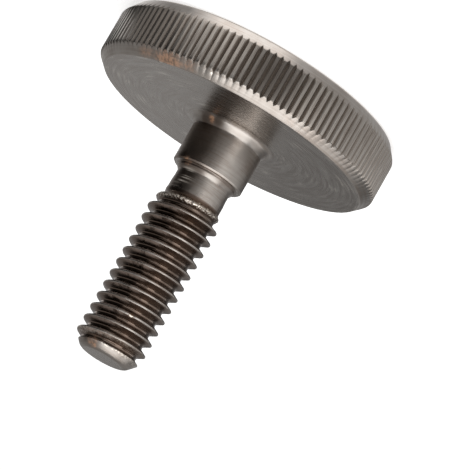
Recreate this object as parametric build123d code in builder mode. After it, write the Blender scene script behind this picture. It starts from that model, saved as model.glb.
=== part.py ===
"""Turned steel thumb screw: a knurled disc head, a plain collar, a relieved neck and a threaded shank.

Millimetres. The screw stands on the flat outer face of its head: that face is centred on the origin,
and the shank points up along +Z.
"""

import os
from math import ceil, pi, radians, tan

from build123d import *

# Head: a flat disc, its two rims broken by turned chamfers
head_diameter = 33.6
head_thickness = 6.85
outer_chamfer_width = 0.95  # across the face that the screw stands on
outer_chamfer_height = 1.35
inner_chamfer = 1.05  # 45 degrees, at the face that the shank leaves

# Straight knurl: V grooves along the axis, pressed right through both chamfers
groove_pitch = 0.825  # along the rim
groove_width = 0.46
groove_depth = 0.2
groove_phase = -0.3  # degrees from +X to the first groove

# Collar under the head
collar_diameter = 8.25
collar_length = 5.5
collar_edge = 0.2  # broken end edge

# Thread: right-hand, a cut 60 degree vee with a flat crest and a flat root
thread_diameter = 7.94
thread_pitch = 1.411
thread_depth = 0.79
thread_angle = 60
thread_length = 19.9  # from the end of the neck to the tip
run_in_length = 2.1  # cone from the neck up to the full diameter
crest_share = 1 / 8  # flat crest, as a share of the pitch
winding_share = 0.53  # how far above the collar a groove passes the +X side, in pitches

# Neck: the relief turned just below the root of the thread
neck_length = 2.9
neck_clearance = 0.06  # under the root, on the radius

# Tip
tip_diameter = 5.46  # flat end face
tip_chamfer_height = 1.35

# How far a cut runs out past the metal that it removes
overrun = 0.3

# Worked-out sizes
head_radius = head_diameter / 2
thread_radius = thread_diameter / 2
root_radius = thread_radius - thread_depth
neck_radius = root_radius - neck_clearance
tip_radius = tip_diameter / 2
collar_top = head_thickness + collar_length
neck_top = collar_top + neck_length
tip_top = neck_top + thread_length
side_count = round(pi * head_diameter / groove_pitch / 2)
groove_count = 2 * side_count

# Thread section over one pitch: radius and height of each corner, counted from the middle of a root
crest_flat = thread_pitch * crest_share
crest_start = (thread_pitch - crest_flat) / 2
root_end = crest_start - thread_depth * tan(radians(thread_angle / 2))
thread_corners = [
    (root_radius, -root_end),
    (root_radius, root_end),
    (thread_radius, crest_start),
    (thread_radius, crest_start + crest_flat),
]


def thread_turn(height):
    """The four helical edges that one turn of the thread adds, with the turn's root at this height."""
    return [
        Edge.make_helix(thread_pitch, thread_pitch, radius, center=(0, 0, height + rise))
        for radius, rise in thread_corners
    ]


def thread_end(height):
    """A flat face in the thread section and a ramp under one turn, which together close an end of the rod."""
    low = height - root_end
    high = low + thread_pitch
    outline = [(radius, 0, height + rise) for radius, rise in thread_corners]
    section = Wire.make_polygon([(0, 0, low), *outline, (root_radius, 0, high), (0, 0, high)])
    axis_line = Edge.make_line((0, 0, low), (0, 0, high))
    return [Face(section), Face.make_surface_from_curves(axis_line, thread_turn(height)[0])]


def threaded_rod(bottom, turns):
    """A closed rod of whole turns: ruled faces between neighbouring helices, and an end at each side."""
    top = bottom + turns * thread_pitch
    helices = [edge for turn in range(turns) for edge in thread_turn(bottom + turn * thread_pitch)]
    helices.append(thread_turn(top)[0])
    flanks = [Face.make_surface_from_curves(low, high) for low, high in zip(helices, helices[1:])]
    return Solid(Shell(flanks + thread_end(bottom) + thread_end(top)))


# The rod starts below the collar's end and runs out past the tip, so its ends are cut away
rod = threaded_rod(
    bottom=collar_top + (winding_share - 2) * thread_pitch,
    turns=ceil((tip_top - collar_top) / thread_pitch) + 2,
)

with BuildPart() as shank:
    add(rod)
    # Turned outline: the neck, the cone into the thread, and the chamfered tip
    with BuildSketch(Plane.XZ) as outline:
        with BuildLine():
            clear_radius = thread_radius + overrun
            run_in_slope = run_in_length / (thread_radius - neck_radius)
            tip_slope = tip_chamfer_height / (thread_radius - tip_radius)
            Polyline(
                (0, collar_top),
                (neck_radius, collar_top),
                (neck_radius, neck_top),
                (clear_radius, neck_top + run_in_slope * (clear_radius - neck_radius)),
                (clear_radius, tip_top - tip_slope * (clear_radius - tip_radius)),
                (tip_radius, tip_top),
                (0, tip_top),
                close=True,
            )
        make_face()
    revolve(axis=Axis.Z, mode=Mode.INTERSECT)

with BuildPart() as thumb_screw:
    # Head: the lands between the grooves are so narrow that they are flats, two on each side of the disc
    with BuildSketch():
        RegularPolygon(head_radius, side_count, major_radius=False, rotation=groove_phase)
    extrude(amount=head_thickness)
    outer_face = faces().sort_by(Axis.Z)[0]
    chamfer(outer_face.edges(), outer_chamfer_width, outer_chamfer_height, reference=outer_face)
    inner_face = faces().sort_by(Axis.Z)[-1]
    chamfer(inner_face.edges(), inner_chamfer)

    # Knurl: one V groove, repeated at each corner and at the middle of each side
    with BuildSketch():
        with PolarLocations(head_radius, groove_count, start_angle=groove_phase):
            mouth = groove_width / 2 * (groove_depth + overrun) / groove_depth
            Polygon((-groove_depth, 0), (overrun, -mouth), (overrun, mouth), align=None)
    extrude(amount=head_thickness, mode=Mode.SUBTRACT)

    # Collar
    with BuildSketch(Plane.XY.offset(head_thickness)):
        Circle(collar_diameter / 2)
    extrude(amount=collar_length)
    chamfer(edges().filter_by(GeomType.CIRCLE).sort_by(Axis.Z)[-1], collar_edge)

    add(shank.part)

thumb_screw.part.label = "thumb_screw"

os.makedirs("parts", exist_ok=True)
export_step(thumb_screw.part, "parts/thumb_screw.step")
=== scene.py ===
"""Looks of a turned steel thumb screw, laid out as an add-on: an operator for the screw, one for the stage.

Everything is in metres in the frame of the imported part: the screw stands on its head, shank up along +Z.
"""

from math import atan2, degrees, pi, radians, tan

import bmesh
import bpy
from bpy.props import FloatProperty, FloatVectorProperty, IntProperty, PointerProperty
from bpy.types import Operator, Panel, PropertyGroup
from mathutils import Matrix, Vector, noise


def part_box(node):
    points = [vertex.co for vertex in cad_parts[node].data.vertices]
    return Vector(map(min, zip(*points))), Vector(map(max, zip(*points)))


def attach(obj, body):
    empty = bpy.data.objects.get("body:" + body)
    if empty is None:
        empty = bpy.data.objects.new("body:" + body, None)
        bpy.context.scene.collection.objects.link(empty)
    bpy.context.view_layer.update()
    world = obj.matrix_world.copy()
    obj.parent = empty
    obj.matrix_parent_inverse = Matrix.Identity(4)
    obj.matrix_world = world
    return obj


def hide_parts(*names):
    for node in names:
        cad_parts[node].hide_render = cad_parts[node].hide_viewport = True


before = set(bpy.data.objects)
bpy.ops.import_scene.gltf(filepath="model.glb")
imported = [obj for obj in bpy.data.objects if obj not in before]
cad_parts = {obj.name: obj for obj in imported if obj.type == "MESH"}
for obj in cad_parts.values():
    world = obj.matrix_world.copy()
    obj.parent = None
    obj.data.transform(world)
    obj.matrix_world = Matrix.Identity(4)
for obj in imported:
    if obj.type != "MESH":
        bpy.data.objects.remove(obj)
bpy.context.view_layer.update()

bl_info = {
    "name": "Thumb screw",
    "version": (1, 0, 0),
    "blender": (4, 5, 0),
    "location": "View3D > Sidebar > Thumb screw",
    "description": "Turns, knurls and threads a steel thumb screw and sets it on a pale stage",
    "category": "Object",
}

MM = 0.001
NODE = "thumb_screw"
BODY = "root"

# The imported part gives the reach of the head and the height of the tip
NODE_LOW, NODE_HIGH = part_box(NODE)
SCREW_HEIGHT = NODE_HIGH.z - NODE_LOW.z
HEAD_RADIUS = round((NODE_HIGH.x - NODE_LOW.x) / 2 / MM, 1) * MM

# Places of the finishes in the screw's list of materials
TURNED, FACED, KNURLED, THREADED = range(4)

# Mesh: steps round the axis, distances within which points are one, and the angle of a sharp edge
ROUND_STEPS = 160
SLICE_STEPS = 10  # across one groove of the knurl
TURN_STEPS = 144  # in one turn of the thread
WELD_DISTANCE = 0.002 * MM
CUT_DISTANCE = 0.001 * MM
SHARP_ANGLE = radians(28)

# Rings at which the shells are joined, out from the collar or down from the tip
OUTER_FACE_RING = 1.0 * MM
COLLAR_FOOT_RING = 1.6 * MM
INNER_FACE_RING = 2.0 * MM
THREAD_END = 0.45 * MM
TIP_START = 0.43 * MM
TIP_FACE_SHARE = 0.6  # of the tip's radius
NECK_CUT_SHARE = 0.7  # of the neck's length, where the thread is cut off

# Extra rings that keep the rim straight next to its bends, and let the face under the head take a bruise
RIM_RING = 0.4 * MM
FACE_RINGS = (0.2 * MM, 0.35 * MM, 0.5 * MM, 0.8 * MM, 1.1 * MM)

# Rounded corners of the collar and the neck
FOOT_FILLET = 0.5 * MM
FLARE_ROUNDING = 0.08 * MM
NECK_FILLET = 0.15 * MM
STEP_ROUNDING = 0.05 * MM

# Thread: its angle, where it winds, and the swell and tear at its start
FLANK_ANGLE = radians(30)
WINDING_SHARE = 0.53  # how far above the collar a groove passes the +X side, in pitches
TURNS_BELOW = 2  # turns that start below the collar's end and are cut away
FLANK_SHARE = 0.6  # an edge of the section longer than this share of the depth is a flank
SWELL_MIDDLE = 1.4  # in lengths of the run-in
SWELL_REACH = 1.2
TEAR_FROM = 0.1  # share of the run-in
TEAR_TO = 0.9
TEAR_GRAIN = 0.2 * MM

# Where a finish stops: rise of a face's normal, and slack in metres
LEVEL_RISE = 0.99
UPRIGHT_RISE = 0.3
THREAD_FINISH_START = 0.2 * MM  # below the end of the neck
THREAD_FINISH_END = 0.5 * MM  # below the tip
LAND_SLACK = 0.02 * MM

# Rust, stains, scratches and bruises as the screw carries them: middle and reach of each, in millimetres
RUST_SPOTS = (
    ((9.4, -13.3, 6.4), 3.4),  # along the chamfer under the head
    ((12.7, -11.6, 7.2), 2.8),
    ((7.4, -15.0, 7.0), 2.0),
    ((2.7, -3.7, 7.4), 0.9),  # at the foot of the collar
    ((2.6, -2.6, 12.4), 1.0),  # at its end
    ((1.7, -2.66, 34.6), 1.2),  # on the tip's chamfer
)
STAINS = (
    ((3.3, -3.4, 7.5), 2.1),  # old oil at the foot of the collar
    ((1.9, -4.2, 7.3), 1.4),
    ((3.2, -2.2, 12.3), 1.5),  # at its end
    ((2.7, -1.7, 13.8), 1.4),  # on the neck
    ((2.4, -1.9, 34.2), 1.0),  # on the tip
)
HANDLED = (((15.0, -13.2, 3.2), 9.0), ((-1.7, -19.4, 3.2), 7.5))  # dirt from fingers on the knurl
SCORES = (((2.0, -2.4, 13.8), 1.7), ((2.3, -2.1, 14.6), 1.2))  # scratches round the neck
BRUISES = (
    ((4.77, -15.7, 6.2), 0.22),  # on the chamfer's edge, at the knurl
    ((10.1, -11.62, 6.85), 0.3),  # on the face under the head
    ((-0.48, -3.9, 30.35), 0.4),  # across a crest of the thread
    ((-0.75, -3.6, 29.75), 0.22),
)
BRUISE_SHARE = 0.3  # depth of a bruise, as a share of its reach

# Sides that carry the brown painted shade on the collar and neck, and the dry dirt with its painted sheen on
# the thread, as directions from the axis
SHADE_SIDE = (0.8, -0.6, 0)
DUST_SHEEN_SIDE = (0.47, -0.88, 0)

# Where a finish comes or goes, in millimetres, as the ends of a Map Range node's first range
SIDE_SHADE_START = {1: 7.2, 2: 8.2}
SIDE_SHADE_END = {1: 15.8, 2: 15.2}
CORNER_START = {1: 12.3, 2: 12.36}
CORNER_END = {1: 12.68, 2: 12.6}
RIDGE_FOOT = {1: 15.3, 2: 15.9}
FIRST_RIDGE = {1: 17.4, 2: 16.6}
DUST_SHEEN_START = {1: 16.6, 2: 17.4}
LAST_RIDGE = {1: 33.0, 2: 33.6}
RIDGE_REACH = {1: 3.3, 2: 3.4}  # out from the axis
TIP_WEAR = {1: 33.6, 2: 34.3}

# Spacing and size of the patterns, in millimetres
TURNED_SPACING = 0.13
TURNED_CLOUDS = 2.5
SCORE_SPACING = 0.16
FACED_SPACING = 0.35
FACED_FINE_SPACING = 0.12
FACED_CLOUDS = 3.0
STREAK_WIDTH = 0.12
STREAK_LENGTH = 2.5
THREADED_SPACING = 0.1
FLANK_DEPTH = 0.79
OIL_DRIFT = 0.9
TORN_GRIT = 0.22
SMEAR_SPACING = 0.5
RUST_GRAIN = 0.3
FACE_SHARE = 1.7  # weight of the reach beside the height, so that rings show on faces and chamfers too

# Depth of the marks that each finish is cut with, in millimetres
TURNED_RELIEF = 0.004
FACED_RELIEF = 0.016
KNURLED_RELIEF = 0.01
THREADED_RELIEF = 0.005

# Settings that many nodes share: a range stretched to another with eased ends, and a mix of two colours
EASED = {"interpolation_type": "SMOOTHSTEP"}
COLOURS = {"data_type": "RGBA"}

# Pale floor: its reach in metres, how far it lies under the screw, and its glow to the camera and the steel
FLOOR_RADIUS = 4.0
FLOOR_STEPS = 64
FLOOR_DROP = 0.05 * MM
FLOOR_GLOW = 0.6

# Soft lamps: name, place, width and height in metres, and radiance
LAMPS = (
    ("overhead", (-0.08, -0.16, 0.42), 0.42, 0.4, 2.0),
    ("front right", (-0.252, -0.373, 0.139), 0.24, 0.18, 2.3),
    ("right", (-0.28, 0.07, 0.35), 0.22, 0.22, 0.9),
)
LAMP_TARGET = (0, 0, 0.015)
WORLD_GREY = "#a09f9e"

# Camera, fitted to the outline in the photo: millimetres and degrees
CAMERA_PLACE = (-5.74, -418.5, 113.6)
CAMERA_TILT = 13.09
CAMERA_ROLL = 209.82
CAMERA_LENS = 306.4
CAMERA_SENSOR = 36.0
CAMERA_NEAR = 0.01  # metres

# Grey cards round the screw: inner reach, outer reach and rise in mm, then stops of angle and level
CARD_LIFT = 0.1  # off the floor, in millimetres
CARDS = (
    (15.95, 17.4, 0, (
        (-180, 0.5), (-115, 0.6), (-100, 0.8), (-91, 2.0), (-66, 2.1), (-50, 0.5), (-40, 0.4),
        (-18, 1.0), (20, 0.6), (180, 0.5),
    )),
    (17.4, 34, 0, (
        (-180, 0.5), (-110, 0.56), (-98, 0.48), (-84, 0.5), (-72, 1.2), (-58, 1.1), (-46, 0.65),
        (-34, 0.08), (-22, 0.04), (-4, 0.08), (8, 1.1), (19, 0.95), (30, 0.3), (70, 0.4), (180, 0.5),
    )),
    (34, 150, 0, (
        (-180, 0.6), (-165, 0.75), (-115, 1.3), (-100, 0.65), (-80, 0.2), (-55, 0.04), (-35, 0.02),
        (22, 0.02), (45, 0.36), (68, 0.56), (90, 0.12), (140, 0.11), (180, 0.6),
    )),
    (150, 151, 60, ((-62, 0.3), (-50, 0.04), (42, 0.02))),
    (90, 90.5, 60, (
        (65, 0.4), (84, 0.4), (96, 0.22), (104, 0.22), (114, 0.5), (124, 0.16), (150, 0.16),
    )),
)


def size(name, description, millimetres):
    """A length that a user can change, kept in metres."""
    return FloatProperty(
        name=name, description=description, default=millimetres * MM, unit="LENGTH", precision=5
    )


def linear(code):
    """The linear RGBA values of an sRGB hex colour."""
    shares = [int(code[place : place + 2], 16) / 255 for place in (1, 3, 5)]
    return [s / 12.92 if s <= 0.04045 else ((s + 0.055) / 1.055) ** 2.4 for s in shares] + [1.0]


def colour(name, description, code):
    """A colour that a user can change, given as an sRGB hex value."""
    return FloatVectorProperty(
        name=name, description=description, default=linear(code), size=4, subtype="COLOR", min=0, max=1
    )


class ScrewSizes(PropertyGroup):
    """Sizes of the screw."""

    head_radius: size("Head radius", "Radius over the lands of the knurl", HEAD_RADIUS / MM)
    head_thickness: size("Head thickness", "From the outer face to the face under the head", 6.85)
    outer_chamfer_width: size("Outer chamfer width", "Across the face that the screw stands on", 0.95)
    outer_chamfer_height: size("Outer chamfer height", "Along the axis, at the outer face", 1.35)
    inner_chamfer: size("Inner chamfer", "45 degree chamfer at the face under the head", 1.05)
    edge_radius: size("Edge radius", "Rounding of the head's turned edges", 0.09)
    groove_count: IntProperty(name="Grooves", description="Grooves round the knurl", default=128, min=8)
    groove_width: size("Groove width", "Width of a knurl groove at the rim", 0.5)
    groove_depth: size("Groove depth", "Depth of a knurl groove", 0.3)
    groove_phase: FloatProperty(
        name="Groove phase", description="From +X to the first groove",
        default=radians(-0.3), subtype="ANGLE",
    )
    collar_radius: size("Collar radius", "Radius of the plain collar", 4.125)
    collar_length: size("Collar length", "From the head to the end of the collar", 5.5)
    collar_flare: size("Collar flare", "Height of the cone at the collar's foot", 1.0)
    collar_flare_reach: size("Collar flare reach", "How far that cone stands out from the collar", 0.75)
    collar_edge: size("Collar edge", "Chamfer of the collar's end edge", 0.17)
    neck_radius: size("Neck radius", "Radius of the relief below the thread", 3.12)
    neck_length: size("Neck length", "From the collar to the start of the thread", 2.9)
    neck_step: size("Neck step", "Height of the step between the collar and the neck's cone", 0.27)
    neck_flare: size("Neck flare", "Height of the cone on the neck, above that step", 0.48)
    neck_flare_reach: size("Neck flare reach", "How far that cone stands out from the neck", 0.36)
    thread_radius: size("Thread radius", "Radius over the crests", 3.96)
    thread_pitch: size("Thread pitch", "Rise of one turn", 1.411)
    thread_depth: size("Thread depth", "From crest to root", 0.79)
    thread_crest: size("Crest flat", "Width of the flat crest", 0.14)
    crest_edge: size("Crest edge", "Rounding of the crest's two edges", 0.04)
    thread_root: size("Thread root", "Rounding of the two corners at the bottom of the thread", 0.18)
    run_in: size("Run-in", "Length of the cone from the neck to the full thread", 2.1)
    swell: size("Swell", "How far the first full crests stand above the others", 0.1)
    tear: size("Tear", "Roughness of the first, torn crest", 0.09)
    tip_radius: size("Tip radius", "Radius of the flat end face", 2.73)
    tip_chamfer: size("Tip chamfer", "Length of the chamfer at the tip, along the axis", 1.35)
    tip_edge: size("Tip edge", "Rounding where the chamfer meets the end face", 0.4)


class ScrewColours(PropertyGroup):
    """Colours of the finishes."""

    steel: colour("Steel", "Clean turned steel", "#b0aaa4")
    patina: colour("Patina", "Steel dulled by handling and old oil", "#9a9088")
    land: colour("Land", "Lands of the knurl", "#b3ada6")
    grime: colour("Grime", "Dirt pressed into the knurl", "#857b72")
    handled: colour("Handling", "Dirt from fingers on the knurl, and the dull tip", "#59524c")
    # Also the brown painted shade on one side of the collar and the neck
    film_and_shade: colour("Oil film", "Thin brown oil on the collar, the neck and the thread", "#74655b")
    oil: colour("Oil", "Thick dark oil in corners and at the root of the thread", "#4a3c31")
    rust: colour("Rust", "Old brown rust", "#71543f")
    bloom: colour("Rust bloom", "Fresh light rust", "#bd8f6e")
    # Also a painted sheen: the pale colour on one side of the thread's flanks, where they would catch the
    # light
    dust_and_sheen: colour("Dust", "Dry dirt caked on the flanks of the thread", "#94847a")
    # Also paints the glints of the faced steel, as painted highlights
    bare_and_glint: colour("Bare metal", "Bruises, scratches and torn ridges that show fresh metal", "#e6ded3")
    floor: colour("Floor", "The pale floor", "#f4f4f4")


def wire(bm, points):
    """An open chain of edges through points given as radius and height, in the half plane through +X."""
    verts = [bm.verts.new((radius, 0, height)) for radius, height in points]
    for pair in zip(verts, verts[1:]):
        bm.edges.new(pair)
    return verts


def round_corners(bm, verts, radius, segments):
    """Rounds corners of a wire."""
    bmesh.ops.bevel(
        bm, geom=verts, offset=radius, offset_type="OFFSET", affect="VERTICES",
        segments=segments, profile=0.5, material=-1,
    )


def spin(bm, geom, angle, steps, rise=0.0, merge=False, duplicate=False):
    """Turns geometry about the screw's axis."""
    return bmesh.ops.spin(
        bm, geom=geom, cent=(0, 0, 0), axis=(0, 0, 1), dvec=(0, 0, rise / steps),
        angle=angle, steps=steps, use_merge=merge, use_duplicate=duplicate,
    )


def everything(bm):
    """All of a mesh, as bmesh operators take it."""
    return bm.verts[:] + bm.edges[:] + bm.faces[:]


def weld(bm):
    """Merges vertices that share a place."""
    bmesh.ops.remove_doubles(bm, verts=bm.verts[:], dist=WELD_DISTANCE)


def head_shell(bm, s):
    """The knurled head: a groove is pressed into a slice of the disc, and the slice goes round the axis."""
    lower_bend, upper_bend = s.outer_chamfer_height, s.head_thickness - s.inner_chamfer
    face_edge = s.head_radius - s.inner_chamfer
    slice_angle = 2 * pi / s.groove_count
    corners = wire(bm, [
        (s.collar_radius + OUTER_FACE_RING, 0),
        (s.head_radius - s.outer_chamfer_width, 0),
        (s.head_radius, lower_bend),
        (s.head_radius, lower_bend + RIM_RING),
        (s.head_radius, upper_bend - RIM_RING),
        (s.head_radius, upper_bend),
        (face_edge, s.head_thickness),
        *((face_edge - inset, s.head_thickness) for inset in FACE_RINGS),
        (s.collar_radius + INNER_FACE_RING, s.head_thickness),
    ])
    round_corners(bm, corners[1:3] + corners[5:7], s.edge_radius, 3)
    bmesh.ops.rotate(bm, verts=bm.verts[:], matrix=Matrix.Rotation(-slice_angle / 2, 3, "Z"))
    spin(bm, everything(bm), slice_angle, SLICE_STEPS)
    press_groove(bm, s)
    bmesh.ops.rotate(bm, verts=bm.verts[:], matrix=Matrix.Rotation(s.groove_phase, 3, "Z"))
    spin(bm, everything(bm), 2 * pi - slice_angle, s.groove_count - 1, duplicate=True)
    weld(bm)


def press_groove(bm, s):
    """Moves the rim of the slice in to the groove, with its two bends sliding down the chamfers."""
    lower_bend, upper_bend = s.outer_chamfer_height, s.head_thickness - s.inner_chamfer
    reach = 2 * s.edge_radius
    for vert in bm.verts:
        radius = vert.co.xy.length
        if radius < s.head_radius - reach:
            continue
        across = abs(atan2(vert.co.y, vert.co.x)) * s.head_radius
        depth = max(0.0, s.groove_depth * (1 - across / (s.groove_width / 2)))
        vert.co.xy *= (radius - depth) / radius
        if abs(vert.co.z - lower_bend) < reach:
            vert.co.z -= depth * s.outer_chamfer_height / s.outer_chamfer_width
        elif abs(vert.co.z - upper_bend) < reach:
            vert.co.z += depth


def collar_shell(bm, s):
    """The collar with its flared foot, and the neck, open at both ends."""
    collar_top = s.head_thickness + s.collar_length
    corners = wire(bm, [
        (s.collar_radius + COLLAR_FOOT_RING, s.head_thickness),
        (s.collar_radius + s.collar_flare_reach, s.head_thickness),
        (s.collar_radius, s.head_thickness + s.collar_flare),
        (s.collar_radius, collar_top),
        (s.neck_radius + s.neck_flare_reach, collar_top),
        (s.neck_radius + s.neck_flare_reach, collar_top + s.neck_step),
        (s.neck_radius, collar_top + s.neck_step + s.neck_flare),
        (s.neck_radius, collar_top + s.neck_length / 2),
    ])
    round_corners(bm, corners[1:2], FOOT_FILLET, 8)
    round_corners(bm, corners[2:3], FLARE_ROUNDING, 4)
    round_corners(bm, corners[3:4], s.collar_edge, 1)
    round_corners(bm, corners[4:5], NECK_FILLET, 5)
    round_corners(bm, corners[5:7], STEP_ROUNDING, 3)
    spin(bm, everything(bm), 2 * pi, ROUND_STEPS, merge=True)


def thread_shell(bm, s):
    """The thread: one turn of its section, repeated up the shank, trimmed by the outline and cut off."""
    collar_top = s.head_thickness + s.collar_length
    root_radius = s.thread_radius - s.thread_depth
    crest_start = (s.thread_pitch - s.thread_crest) / 2
    root_end = crest_start - s.thread_depth * tan(FLANK_ANGLE)
    groove_height = collar_top + (WINDING_SHARE - TURNS_BELOW) * s.thread_pitch
    corners = wire(bm, [
        (root_radius, groove_height),
        (root_radius, groove_height + root_end),
        (s.thread_radius, groove_height + crest_start),
        (s.thread_radius, groove_height + s.thread_pitch - crest_start),
        (root_radius, groove_height + s.thread_pitch - root_end),
        (root_radius, groove_height + s.thread_pitch),
    ])
    round_corners(bm, [corners[1], corners[4]], s.thread_root, 5)
    round_corners(bm, corners[2:4], s.crest_edge, 2)
    flanks = [edge for edge in bm.edges if edge.calc_length() > FLANK_SHARE * s.thread_depth]
    bmesh.ops.subdivide_edges(bm, edges=flanks, cuts=3)
    spin(bm, everything(bm), 2 * pi, TURN_STEPS, rise=s.thread_pitch)
    turn = everything(bm)
    turns = int((SCREW_HEIGHT - collar_top) / s.thread_pitch) + TURNS_BELOW + 1
    for number in range(1, turns):
        copy = bmesh.ops.duplicate(bm, geom=turn)["geom"]
        verts = [item for item in copy if isinstance(item, bmesh.types.BMVert)]
        bmesh.ops.translate(bm, verts=verts, vec=(0, 0, number * s.thread_pitch))
    weld(bm)
    raise_thread(bm, s)
    cut(bm, collar_top + NECK_CUT_SHARE * s.neck_length, clear_inner=True)
    cut(bm, SCREW_HEIGHT - THREAD_END, clear_outer=True)


def outline_radius(s, height):
    """Radius of the turned outline at a height, before the knurl and the thread are cut."""
    if height < s.head_thickness:
        return min(
            s.head_radius,
            s.head_radius - s.outer_chamfer_width * (1 - height / s.outer_chamfer_height),
            s.head_radius - s.inner_chamfer + s.head_thickness - height,
        )
    root_radius = s.thread_radius - s.thread_depth
    above = (height - s.head_thickness - s.collar_length - s.neck_length) / s.run_in
    swell = s.swell * max(0.0, 1 - abs(above - SWELL_MIDDLE) / SWELL_REACH)
    tip_slope = (s.thread_radius - s.tip_radius) / s.tip_chamfer
    return min(
        root_radius + s.thread_depth * min(1.0, max(0.0, above)) + swell,
        s.tip_radius + (SCREW_HEIGHT - height) * tip_slope,
    )


def raise_thread(bm, s):
    """Lets the thread grow out of the neck, tears its first ridge and holds it inside the tip's chamfer."""
    root_radius = s.thread_radius - s.thread_depth
    neck_top = s.head_thickness + s.collar_length + s.neck_length
    for vert in bm.verts:
        radius = vert.co.xy.length
        standing = (radius - root_radius) / s.thread_depth
        outline = outline_radius(s, vert.co.z)
        wanted = min(outline, root_radius + standing * max(0.0, outline - root_radius))
        if vert.co.z > SCREW_HEIGHT - s.tip_chamfer:
            wanted = min(outline, radius)
        if TEAR_FROM < (vert.co.z - neck_top) / s.run_in < TEAR_TO:
            wanted += s.tear * standing * noise.noise(vert.co / TEAR_GRAIN)
        vert.co.xy *= wanted / radius


def tip_shell(bm, s):
    """The end of the tip's chamfer and its flat end face, with the edge between them rounded."""
    tip_slope = (s.thread_radius - s.tip_radius) / s.tip_chamfer
    corners = wire(bm, [
        (s.tip_radius + TIP_START * tip_slope, SCREW_HEIGHT - TIP_START),
        (s.tip_radius, SCREW_HEIGHT),
        (TIP_FACE_SHARE * s.tip_radius, SCREW_HEIGHT),
    ])
    round_corners(bm, corners[1:2], s.tip_edge, 6)
    spin(bm, everything(bm), 2 * pi, ROUND_STEPS, merge=True)


def cut(bm, height, **clear):
    """Cuts a shell off level at a height."""
    bmesh.ops.bisect_plane(
        bm, geom=everything(bm), dist=CUT_DISTANCE, plane_co=(0, 0, height), plane_no=(0, 0, 1), **clear
    )


def open_rings(bm):
    """The open edges of a mesh as rings, from the lowest to the highest and from the inside out."""
    # A dictionary keeps the mesh's own order, which a set would shuffle
    left = {edge: True for edge in bm.edges if edge.is_boundary}
    rings = []
    while left:
        ring, front = [], [left.popitem()[0]]
        while front:
            edge = front.pop()
            ring.append(edge)
            for vert in edge.verts:
                near = [other for other in vert.link_edges if left.pop(other, False)]
                front.extend(near)
        rings.append(ring)

    def place(ring):
        corner = ring[0].verts[0].co
        return round(corner.z / MM, 2), corner.xy.length

    return sorted(rings, key=place)


def bruise(bm, middle, reach):
    """Presses a small dent into the surface."""
    middle = Vector(middle) * MM
    reach *= MM
    for vert in bm.verts:
        share = 1 - (vert.co - middle).length_squared / reach**2
        if share > 0:
            vert.co -= vert.normal * BRUISE_SHARE * reach * share


def build_screw(s):
    """The whole screw as one closed mesh."""
    bm = bmesh.new()
    for make in (head_shell, collar_shell, thread_shell, tip_shell):
        part = bmesh.new()
        make(part, s)
        mesh = bpy.data.meshes.new(make.__name__)
        part.to_mesh(mesh)
        part.free()
        bm.from_mesh(mesh)
        bpy.data.meshes.remove(mesh)
    rings = open_rings(bm)
    outer_face, collar_foot, inner_face, neck_end, thread_start, thread_end, tip_start, tip_face = rings
    bmesh.ops.triangle_fill(bm, edges=collar_foot + inner_face, use_beauty=True, normal=(0, 0, 1))
    bmesh.ops.bridge_loops(bm, edges=neck_end + thread_start)
    bmesh.ops.bridge_loops(bm, edges=thread_end + tip_start)
    bmesh.ops.edgeloop_fill(bm, edges=outer_face)
    bmesh.ops.edgeloop_fill(bm, edges=tip_face)
    bmesh.ops.recalc_face_normals(bm, faces=bm.faces[:])
    bm.normal_update()
    for middle, reach in BRUISES:
        bruise(bm, middle, reach)
    for face in bm.faces:
        face.smooth = True
        face.material_index = finish_of(face, s)
    mesh = bpy.data.meshes.new("thumb_screw_turned")
    bm.to_mesh(mesh)
    bm.free()
    mesh.set_sharp_from_angle(angle=SHARP_ANGLE)
    note_depth(mesh, s)
    return mesh


def note_depth(mesh, s):
    """Notes on each vertex how deep it lies in a groove: 0 on the turned outline, 1 at the bottom."""
    shares = []
    for vert in mesh.vertices:
        full = s.groove_depth if vert.co.z < s.head_thickness else s.thread_depth
        shares.append(max(0.0, outline_radius(s, vert.co.z) - vert.co.xy.length) / full)
    mesh.attributes.new("sunk", "FLOAT", "POINT").data.foreach_set("value", shares)


def finish_of(face, s):
    """The finish of a face, from its place."""
    middle = face.calc_center_median()
    radius = middle.xy.length
    neck_top = s.head_thickness + s.collar_length + s.neck_length
    if abs(face.normal.z) > LEVEL_RISE and radius < s.head_radius - s.inner_chamfer:
        return FACED
    if neck_top - THREAD_FINISH_START < middle.z < SCREW_HEIGHT - THREAD_FINISH_END:
        return THREADED
    groove_floor = s.head_radius - s.groove_depth - LAND_SLACK
    if radius > groove_floor and abs(face.normal.z) < UPRIGHT_RISE:
        return KNURLED
    return TURNED


def add_node(tree, kind, inputs=None, output=0, **settings):
    """Adds a node with its settings, links or fills its inputs by name or number, and gives an output."""
    node = tree.nodes.new("ShaderNode" + kind)
    for name, value in settings.items():
        setattr(node, name, value)
    for name, value in (inputs or {}).items():
        if isinstance(value, bpy.types.NodeSocket):
            tree.links.new(value, node.inputs[name])
        else:
            node.inputs[name].default_value = value
    return node.outputs[output] if node.outputs else None


def new_material(name):
    """An empty material and the tree that holds its nodes."""
    material = bpy.data.materials.new(name)
    material.use_nodes = True
    material.node_tree.nodes.clear()
    return material, material.node_tree


def lathe_coordinates(tree):
    """A point as a lathe sees it: its place in mm, its direction from the axis, reach and height."""
    place = add_node(tree, "TexCoord", output="Object")
    place = add_node(tree, "VectorMath", {0: place, "Scale": 1 / MM}, operation="SCALE")
    level = add_node(tree, "VectorMath", {0: place, 1: (1, 1, 0)}, operation="MULTIPLY")
    reach = add_node(tree, "VectorMath", {0: level}, "Value", operation="LENGTH")
    outward = add_node(tree, "VectorMath", {0: level}, operation="NORMALIZE")
    height = add_node(tree, "SeparateXYZ", {0: place}, "Z")
    return place, outward, reach, height


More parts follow.
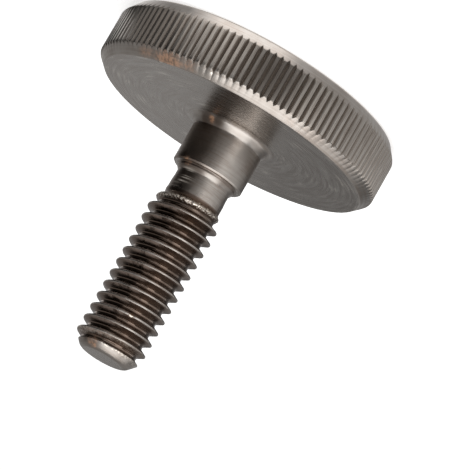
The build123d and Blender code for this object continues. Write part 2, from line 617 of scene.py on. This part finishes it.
def tool_marks(tree, outward, along, spacing, breaks):
    """Noise drawn out into the rings that a tool leaves: their spacing in mm, and how often they break."""
    rise = add_node(tree, "Math", {0: along, 1: 1 / spacing}, operation="MULTIPLY")
    lift = add_node(tree, "CombineXYZ", {"Z": rise})
    ring = {0: outward, 1: (breaks, breaks, 0), 2: lift}
    path = add_node(tree, "VectorMath", ring, operation="MULTIPLY_ADD")
    return add_node(tree, "TexNoise", {"Vector": path, "Scale": 1.0, "Detail": 3.0})


def spots(tree, place, marks):
    """A mask that is 1 at the middle of each mark and fades out at its reach."""
    mask = None
    for middle, reach in marks:
        away = add_node(tree, "VectorMath", {0: place, 1: middle}, "Value", operation="DISTANCE")
        near = add_node(tree, "MapRange", {0: away, 1: reach, 2: 0.0}, **EASED)
        if mask is not None:
            near = add_node(tree, "Math", {0: mask, 1: near}, operation="MAXIMUM")
        mask = near
    return mask


def aged_steel(tree, c, lathe, base, rough, marks, relief, rusting=0.0, caked=None):
    """Finishes a steel: old oil, rust and bruises over its base, and its marks cut in to a depth in mm.

    The last two are the most that rust may cover, and where dirt is caked on.
    """
    place, outward, reach, height = lathe
    along = add_node(tree, "Math", {0: reach, 1: FACE_SHARE, 2: height}, operation="MULTIPLY_ADD")
    smear = tool_marks(tree, outward, along, SMEAR_SPACING, 5.0)
    stain = {0: smear, 1: 0.4, 2: spots(tree, place, STAINS)}
    stain = add_node(tree, "Math", stain, operation="MULTIPLY_ADD")
    oily = add_node(tree, "MapRange", {0: stain, 1: 0.25, 2: 1.1, 4: 0.8}, **EASED)
    base = add_node(tree, "Mix", {0: oily, 6: base, 7: c.oil}, 2, **COLOURS)
    dull = caked
    if rusting:
        rusted = {0: spots(tree, place, RUST_SPOTS), 1: 0.8, 2: smear}
        rusted = add_node(tree, "Math", rusted, operation="MULTIPLY_ADD")
        rusty = add_node(tree, "MapRange", {0: rusted, 1: 0.55, 2: 1.35, 4: rusting}, **EASED)
        grain = add_node(tree, "TexNoise", {"Vector": place, "Scale": 1 / RUST_GRAIN, "Detail": 4.0})
        fresh = add_node(tree, "MapRange", {0: grain, 1: 0.38, 2: 0.62}, **EASED)
        rust = add_node(tree, "Mix", {0: fresh, 6: c.rust, 7: c.bloom}, 2, **COLOURS)
        base = add_node(tree, "Mix", {0: rusty, 6: base, 7: rust}, 2, **COLOURS)
        rough = add_node(tree, "Math", {0: rusty, 1: 0.35, 2: rough}, operation="MULTIPLY_ADD")
        dull = add_node(tree, "Math", {0: rusty, 1: caked}, operation="MAXIMUM")
    bruised = add_node(tree, "MapRange", {0: spots(tree, place, BRUISES), 1: 0.2, 2: 0.5}, **EASED)
    base = add_node(tree, "Mix", {0: bruised, 6: base, 7: c.bare_and_glint}, 2, **COLOURS)
    metal = 1.0
    if dull is not None:
        metal = add_node(tree, "MapRange", {0: dull, 3: 1.0, 4: 0.4}, **EASED)
    cuts = add_node(tree, "Bump", {"Height": marks, "Distance": relief * MM})
    surface = {"Base Color": base, "Metallic": metal, "Roughness": rough, "Normal": cuts}
    add_node(tree, "OutputMaterial", {"Surface": add_node(tree, "BsdfPrincipled", surface)})


def turned_base(tree, c, lathe):
    """Colour, rings and scratches of the turned steel. The crests of the thread share its colour."""
    place, outward, reach, height = lathe
    along = add_node(tree, "Math", {0: reach, 1: FACE_SHARE, 2: height}, operation="MULTIPLY_ADD")
    marks = tool_marks(tree, outward, along, TURNED_SPACING, 1.2)
    clouds = add_node(tree, "TexNoise", {"Vector": place, "Scale": 1 / TURNED_CLOUDS, "Detail": 3.0})
    dulled = add_node(tree, "Math", {0: marks, 1: clouds}, operation="MULTIPLY")
    dulled = add_node(tree, "MapRange", {0: dulled, 1: 0.12, 2: 0.42}, **EASED)
    base = add_node(tree, "Mix", {0: dulled, 6: c.steel, 7: c.patina}, 2, **COLOURS)

    # One side of the collar and the neck is browner and darker: painted shade, in the brown of oil
    side = add_node(tree, "VectorMath", {0: outward, 1: SHADE_SIDE}, "Value", operation="DOT_PRODUCT")
    side = add_node(tree, "MapRange", {0: side, 1: 0.5, 2: 1.0, 4: 0.7}, **EASED)
    above = add_node(tree, "MapRange", {0: height, **SIDE_SHADE_START}, **EASED)
    below = add_node(tree, "MapRange", {0: height, **SIDE_SHADE_END}, **EASED)
    span = add_node(tree, "Math", {0: above, 1: below}, operation="MULTIPLY")
    side_shade = add_node(tree, "Math", {0: side, 1: span}, operation="MULTIPLY")
    base = add_node(tree, "Mix", {0: side_shade, 6: base, 7: c.film_and_shade}, 2, **COLOURS)

    # The tip is dull from use
    worn = add_node(tree, "MapRange", {0: height, **TIP_WEAR, 4: 0.24}, **EASED)
    base = add_node(tree, "Mix", {0: worn, 6: base, 7: c.handled}, 2, **COLOURS)

    # Dirt sits in the corner between the collar's end and the neck
    above = add_node(tree, "MapRange", {0: height, **CORNER_START, 4: 0.6}, **EASED)
    below = add_node(tree, "MapRange", {0: height, **CORNER_END}, **EASED)
    corner = add_node(tree, "Math", {0: above, 1: below}, operation="MULTIPLY")
    base = add_node(tree, "Mix", {0: corner, 6: base, 7: c.film_and_shade}, 2, **COLOURS)

    # Scratches run round the neck
    lines = tool_marks(tree, outward, height, SCORE_SPACING, 0.5)
    lines = add_node(tree, "MapRange", {0: lines, 1: 0.48, 2: 0.62}, **EASED)
    scored = add_node(tree, "Math", {0: spots(tree, place, SCORES), 1: lines}, operation="MULTIPLY")
    base = add_node(tree, "Mix", {0: scored, 6: base, 7: c.bare_and_glint}, 2, **COLOURS)
    return base, marks, scored


def turned_steel(c):
    # Plain carbon steel off the lathe: fine rings round the axis, a soft satin gloss and brown marks of use.
    # The rings are drawn about twice as far apart as the real feed, so that they show.
    material, tree = new_material("turned carbon steel")
    lathe = lathe_coordinates(tree)
    base, marks, scored = turned_base(tree, c, lathe)
    rough = add_node(tree, "MapRange", {0: marks, 1: 0.3, 2: 0.7, 3: 0.28, 4: 0.38}, **EASED)
    aged_steel(tree, c, lathe, base, rough, marks, TURNED_RELIEF, rusting=0.75, caked=scored)
    return material


def faced_steel(c):
    # Carbon steel faced across on the lathe: broken rings about the centre, greyer and more mirror-like.
    # The rings are drawn about twice as far apart as the real feed, so that they show.
    material, tree = new_material("faced carbon steel")
    lathe = lathe_coordinates(tree)
    place, outward, reach = lathe[:3]
    marks = tool_marks(tree, outward, reach, FACED_SPACING, 4.0)
    fine = tool_marks(tree, outward, reach, FACED_FINE_SPACING, 1.5)
    both = add_node(tree, "Math", {0: marks, 1: fine}, operation="ADD")
    clean = add_node(tree, "MapRange", {0: both, 1: 0.8, 2: 1.2}, **EASED)
    base = add_node(tree, "Mix", {0: clean, 6: c.patina, 7: c.steel}, 2, **COLOURS)
    # Painted glints: clusters of the rings lightened towards fresh metal, as where they would catch the
    # light
    clouds = add_node(tree, "TexNoise", {"Vector": place, "Scale": 1 / FACED_CLOUDS, "Detail": 2.0})
    clouds = add_node(tree, "MapRange", {0: clouds, 1: 0.48, 2: 0.7}, **EASED)
    bright = add_node(tree, "MapRange", {0: marks, 1: 0.5, 2: 0.7, 4: 0.65}, **EASED)
    glint = add_node(tree, "Math", {0: bright, 1: clouds}, operation="MULTIPLY")
    base = add_node(tree, "Mix", {0: glint, 6: base, 7: c.bare_and_glint}, 2, **COLOURS)
    rough = add_node(tree, "MapRange", {0: both, 1: 0.8, 2: 1.2, 3: 0.22, 4: 0.3}, **EASED)
    aged_steel(tree, c, lathe, base, rough, both, FACED_RELIEF)
    return material


def knurled_steel(c):
    # Carbon steel with a pressed straight knurl: lands burnished in streaks along the axis, dirt in the
    # grooves and where fingers hold it. The streaks are drawn at about twice their real width, to show.
    material, tree = new_material("knurled carbon steel")
    lathe = lathe_coordinates(tree)
    place = lathe[0]
    sunk = add_node(tree, "Attribute", output="Fac", attribute_name="sunk")
    shrunk = (1 / STREAK_WIDTH, 1 / STREAK_WIDTH, 1 / STREAK_LENGTH)
    drawn = add_node(tree, "VectorMath", {0: place, 1: shrunk}, operation="MULTIPLY")
    streaks = add_node(tree, "TexNoise", {"Vector": drawn, "Scale": 1.0, "Detail": 3.0})
    bright = add_node(tree, "MapRange", {0: streaks, 1: 0.3, 2: 0.7}, **EASED)
    land = add_node(tree, "Mix", {0: bright, 6: c.patina, 7: c.land}, 2, **COLOURS)
    handled = add_node(tree, "MapRange", {0: spots(tree, place, HANDLED), 1: 0.1, 2: 0.9}, **EASED)
    land = add_node(tree, "Mix", {0: handled, 6: land, 7: c.handled}, 2, **COLOURS)
    dirt = add_node(tree, "Math", {0: streaks, 1: 0.25, 2: sunk}, operation="MULTIPLY_ADD")
    dirty = add_node(tree, "MapRange", {0: dirt, 1: 0.35, 2: 0.85}, **EASED)
    base = add_node(tree, "Mix", {0: dirty, 6: land, 7: c.grime}, 2, **COLOURS)
    in_grooves = add_node(tree, "MapRange", {0: dirt, 1: 0.5, 2: 1.0, 4: 0.6}, **EASED)
    on_lands = add_node(tree, "MapRange", {0: handled, 4: 0.6}, **EASED)
    packed = add_node(tree, "Math", {0: in_grooves, 1: on_lands}, operation="MAXIMUM")
    rough = add_node(tree, "MapRange", {0: streaks, 1: 0.3, 2: 0.7, 3: 0.25, 4: 0.36}, **EASED)
    aged_steel(tree, c, lathe, base, rough, streaks, KNURLED_RELIEF, caked=packed)
    return material


def threaded_steel(c):
    # Carbon steel with a cut thread: bright crests, brown oil thinning up the flanks, dark glossy oil at
    # the root, dry dirt with a painted sheen along one side, and torn ridges at both ends that show fresh
    # metal.
    material, tree = new_material("threaded carbon steel")
    lathe = lathe_coordinates(tree)
    place, outward, reach, height = lathe
    sunk = add_node(tree, "Attribute", output="Fac", attribute_name="sunk")
    crest = turned_base(tree, c, lathe)[0]
    deep = add_node(tree, "Math", {0: sunk, 1: FLANK_DEPTH}, operation="MULTIPLY")
    marks = tool_marks(tree, outward, deep, THREADED_SPACING, 0.8)
    drift = add_node(tree, "TexNoise", {"Vector": place, "Scale": 1 / OIL_DRIFT, "Detail": 4.0})

    # Brown oil on the flanks, dark oil at the root
    thin = add_node(tree, "MapRange", {0: marks, 1: 0.5, 2: 0.8}, **EASED)
    flank = add_node(tree, "Mix", {0: thin, 6: c.film_and_shade, 7: c.patina}, 2, **COLOURS)
    wet = add_node(tree, "Math", {0: drift, 1: 0.5, 2: sunk}, operation="MULTIPLY_ADD")
    wet = add_node(tree, "MapRange", {0: wet, 1: 1.2, 2: 1.5}, **EASED)
    flank = add_node(tree, "Mix", {0: wet, 6: flank, 7: c.oil}, 2, **COLOURS)
    inside = add_node(tree, "MapRange", {0: sunk, 1: 0.02, 2: 0.14}, **EASED)
    base = add_node(tree, "Mix", {0: inside, 6: crest, 7: flank}, 2, **COLOURS)

    # The run-in up to the first ridge is darker brown, and the first and the last ridge are torn
    first = add_node(tree, "MapRange", {0: height, **FIRST_RIDGE}, **EASED)
    foot = add_node(tree, "MapRange", {0: height, **RIDGE_FOOT, 4: 0.25}, **EASED)
    foot = add_node(tree, "Math", {0: first, 1: foot}, operation="MULTIPLY")
    base = add_node(tree, "Mix", {0: foot, 6: base, 7: c.oil}, 2, **COLOURS)
    last = add_node(tree, "MapRange", {0: height, **LAST_RIDGE, 4: 0.5}, **EASED)
    ends = add_node(tree, "Math", {0: first, 1: last}, operation="MAXIMUM")
    grit = add_node(tree, "TexNoise", {"Vector": place, "Scale": 1 / TORN_GRIT, "Detail": 3.0})
    grit = add_node(tree, "MapRange", {0: grit, 1: 0.45, 2: 0.6}, **EASED)
    torn = add_node(tree, "Math", {0: ends, 1: grit}, operation="MULTIPLY")
    ridge = add_node(tree, "MapRange", {0: reach, **RIDGE_REACH}, **EASED)
    torn = add_node(tree, "Math", {0: torn, 1: ridge}, operation="MULTIPLY")
    base = add_node(tree, "Mix", {0: torn, 6: base, 7: c.bare_and_glint}, 2, **COLOURS)

    # Dry dirt on the flanks along one side, above the first ridge: a pale colour that is partly painted
    # sheen, where that side would catch the light
    outer = add_node(tree, "MapRange", {0: sunk, 1: 0.05, 2: 0.15}, **EASED)
    inner = add_node(tree, "MapRange", {0: sunk, 1: 0.8, 2: 0.3}, **EASED)
    flat = add_node(tree, "Math", {0: outer, 1: inner}, operation="MULTIPLY")
    side = add_node(tree, "VectorMath", {0: outward, 1: DUST_SHEEN_SIDE}, "Value", operation="DOT_PRODUCT")
    side = add_node(tree, "MapRange", {0: side, 1: 0.8, 2: 0.98}, **EASED)
    patches = add_node(tree, "MapRange", {0: drift, 1: 0.2, 2: 0.6}, **EASED)
    patchy = add_node(tree, "Math", {0: side, 1: patches}, operation="MULTIPLY")
    dust_sheen_mask = add_node(tree, "Math", {0: flat, 1: patchy}, operation="MULTIPLY")
    above = add_node(tree, "MapRange", {0: height, **DUST_SHEEN_START}, **EASED)
    dust_sheen_mask = add_node(tree, "Math", {0: dust_sheen_mask, 1: above}, operation="MULTIPLY")
    base = add_node(tree, "Mix", {0: dust_sheen_mask, 6: base, 7: c.dust_and_sheen}, 2, **COLOURS)

    # Oil makes the root glossier
    rough = add_node(tree, "MapRange", {0: drift, 1: 0.3, 2: 0.7, 3: 0.24, 4: 0.34}, **EASED)
    oiled = add_node(tree, "MapRange", {0: sunk, 1: 0.75, 2: 0.95, 3: 1.0, 4: 0.4}, **EASED)
    rough = add_node(tree, "Math", {0: rough, 1: oiled}, operation="MULTIPLY")
    aged_steel(tree, c, lathe, base, rough, marks, THREADED_RELIEF, rusting=0.6, caked=dust_sheen_mask)
    return material


class OBJECT_OT_thumb_screw(Operator):
    """Turns the screw as one closed mesh and gives it its finishes"""

    bl_idname = "object.thumb_screw"
    bl_label = "Thumb screw"

    def execute(self, context):
        mesh = build_screw(context.scene.screw_sizes)
        for finish in (turned_steel, faced_steel, knurled_steel, threaded_steel):
            mesh.materials.append(finish(context.scene.screw_colours))
        piece = bpy.data.objects.new("thumb_screw_turned", mesh)
        context.scene.collection.objects.link(piece)
        crisp = piece.modifiers.new("crisp edges", "WEIGHTED_NORMAL")
        crisp.keep_sharp = True
        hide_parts(NODE)
        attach(piece, BODY)
        return {"FINISHED"}


class OBJECT_OT_screw_stage(Operator):
    """Sets the pale floor, the cards that the steel mirrors, the lamps, the world and the camera"""

    bl_idname = "object.screw_stage"
    bl_label = "Stage"

    def execute(self, context):
        scene = context.scene
        scene.view_settings.view_transform = "Standard"
        lay_floor(scene, scene.screw_colours)
        lay_cards(scene)
        hang_lamps(scene)
        set_world(scene)
        place_camera(scene)
        return {"FINISHED"}


def stage_object(scene, name, bm, material):
    """Puts a mesh on the stage, which isn't part of the screw."""
    mesh = bpy.data.meshes.new(name)
    bm.to_mesh(mesh)
    bm.free()
    mesh.materials.append(material)
    thing = bpy.data.objects.new(name, mesh)
    scene.collection.objects.link(thing)
    return thing


def lay_floor(scene, c):
    """The pale floor that the screw stands on."""
    bm = bmesh.new()
    bmesh.ops.create_circle(bm, cap_ends=True, radius=FLOOR_RADIUS, segments=FLOOR_STEPS)
    bmesh.ops.translate(bm, verts=bm.verts[:], vec=(0, 0, -FLOOR_DROP))
    # Matt white paper that also shows as white to the camera and in the steel
    material, tree = new_material("pale floor")
    path = add_node(tree, "LightPath").node.outputs
    seen = {0: path["Is Camera Ray"], 1: path["Is Glossy Ray"]}
    seen = add_node(tree, "Math", seen, operation="MAXIMUM")
    seen = add_node(tree, "Math", {0: seen, 1: path["Is Transmission Ray"]}, operation="MAXIMUM")
    glow = add_node(tree, "Math", {0: seen, 1: FLOOR_GLOW}, operation="MULTIPLY")
    paper = add_node(tree, "BsdfDiffuse", {"Color": c.floor})
    shine = add_node(tree, "Emission", {"Strength": glow})
    both = add_node(tree, "AddShader", {0: paper, 1: shine})
    add_node(tree, "OutputMaterial", {"Surface": both})
    stage_object(scene, "floor", bm, material)


def lay_cards(scene):
    """Grey cards round the screw that only the steel mirrors, each shaded from stop to stop."""
    material, tree = new_material("grey card")
    level = add_node(tree, "Attribute", output="Fac", attribute_name="level")
    shine = add_node(tree, "Emission", {"Strength": level})
    add_node(tree, "OutputMaterial", {"Surface": shine})
    for number, (inner, outer, rise, stops) in enumerate(CARDS):
        bm = bmesh.new()
        first, last = stops[0][0], stops[-1][0]
        wire(bm, [(inner * MM, CARD_LIFT * MM), (outer * MM, (CARD_LIFT + rise) * MM)])
        bmesh.ops.rotate(bm, verts=bm.verts[:], matrix=Matrix.Rotation(radians(first), 3, "Z"))
        spin(bm, everything(bm), radians(last - first), last - first)
        shade = bm.verts.layers.float.new("level")
        for vert in bm.verts:
            # A hundredth of a degree keeps the first stop from wrapping round to the last
            turned = (degrees(atan2(vert.co.y, vert.co.x)) - first + 0.01) % 360 + first
            vert[shade] = level_at(stops, turned)
        card = stage_object(scene, f"card_{number}", bm, material)
        card.visible_camera = False
        card.visible_diffuse = False
        card.visible_transmission = False
        card.visible_shadow = False


def level_at(stops, turned):
    """The level of a card at an angle, straight between its two nearest stops."""
    for (start, low), (end, high) in zip(stops, stops[1:]):
        if turned <= end:
            return low + (high - low) * max(0.0, turned - start) / (end - start)
    return stops[-1][1]


def hang_lamps(scene):
    """Soft rectangular lamps that point at the screw."""
    for name, place, width, height, radiance in LAMPS:
        lamp = bpy.data.lights.new(name, "AREA")
        lamp.shape = "RECTANGLE"
        lamp.size = width
        lamp.size_y = height
        lamp.energy = radiance * pi * width * height
        holder = bpy.data.objects.new(name, lamp)
        holder.location = place
        aim = Vector(LAMP_TARGET) - Vector(place)
        holder.rotation_euler = aim.to_track_quat("-Z", "Y").to_euler()
        scene.collection.objects.link(holder)


def set_world(scene):
    """An even grey all round."""
    world = bpy.data.worlds.new("studio")
    world.use_nodes = True
    world.node_tree.nodes["Background"].inputs["Color"].default_value = linear(WORLD_GREY)
    scene.world = world


def place_camera(scene):
    """The photo's view: the camera is rolled, because the screw stands on its head."""
    camera = bpy.data.cameras.new("camera")
    camera.sensor_width = CAMERA_SENSOR
    camera.lens = CAMERA_LENS
    camera.clip_start = CAMERA_NEAR
    holder = bpy.data.objects.new("camera", camera)
    tilt = Matrix.Rotation(radians(90 - CAMERA_TILT), 4, "X")
    roll = Matrix.Rotation(radians(CAMERA_ROLL), 4, "Z")
    holder.matrix_world = Matrix.Translation(Vector(CAMERA_PLACE) * MM) @ (tilt @ roll)
    scene.collection.objects.link(holder)
    scene.camera = holder


class VIEW3D_PT_thumb_screw(Panel):
    """Lists the operators"""

    bl_idname = "VIEW3D_PT_thumb_screw"
    bl_label = "Thumb screw"
    bl_space_type = "VIEW_3D"
    bl_region_type = "UI"
    bl_category = "Thumb screw"

    def draw(self, context):
        for operator in (OBJECT_OT_thumb_screw, OBJECT_OT_screw_stage):
            self.layout.operator(operator.bl_idname)


CLASSES = (ScrewSizes, ScrewColours, OBJECT_OT_thumb_screw, OBJECT_OT_screw_stage, VIEW3D_PT_thumb_screw)


def register():
    for cls in CLASSES:
        bpy.utils.register_class(cls)
    bpy.types.Scene.screw_sizes = PointerProperty(type=ScrewSizes)
    bpy.types.Scene.screw_colours = PointerProperty(type=ScrewColours)


def unregister():
    del bpy.types.Scene.screw_colours
    del bpy.types.Scene.screw_sizes
    for cls in reversed(CLASSES):
        bpy.utils.unregister_class(cls)


def main():
    """Builds the screw and its stage."""
    register()
    bpy.ops.object.thumb_screw()
    bpy.ops.object.screw_stage()


if __name__ == "__main__":
    main()
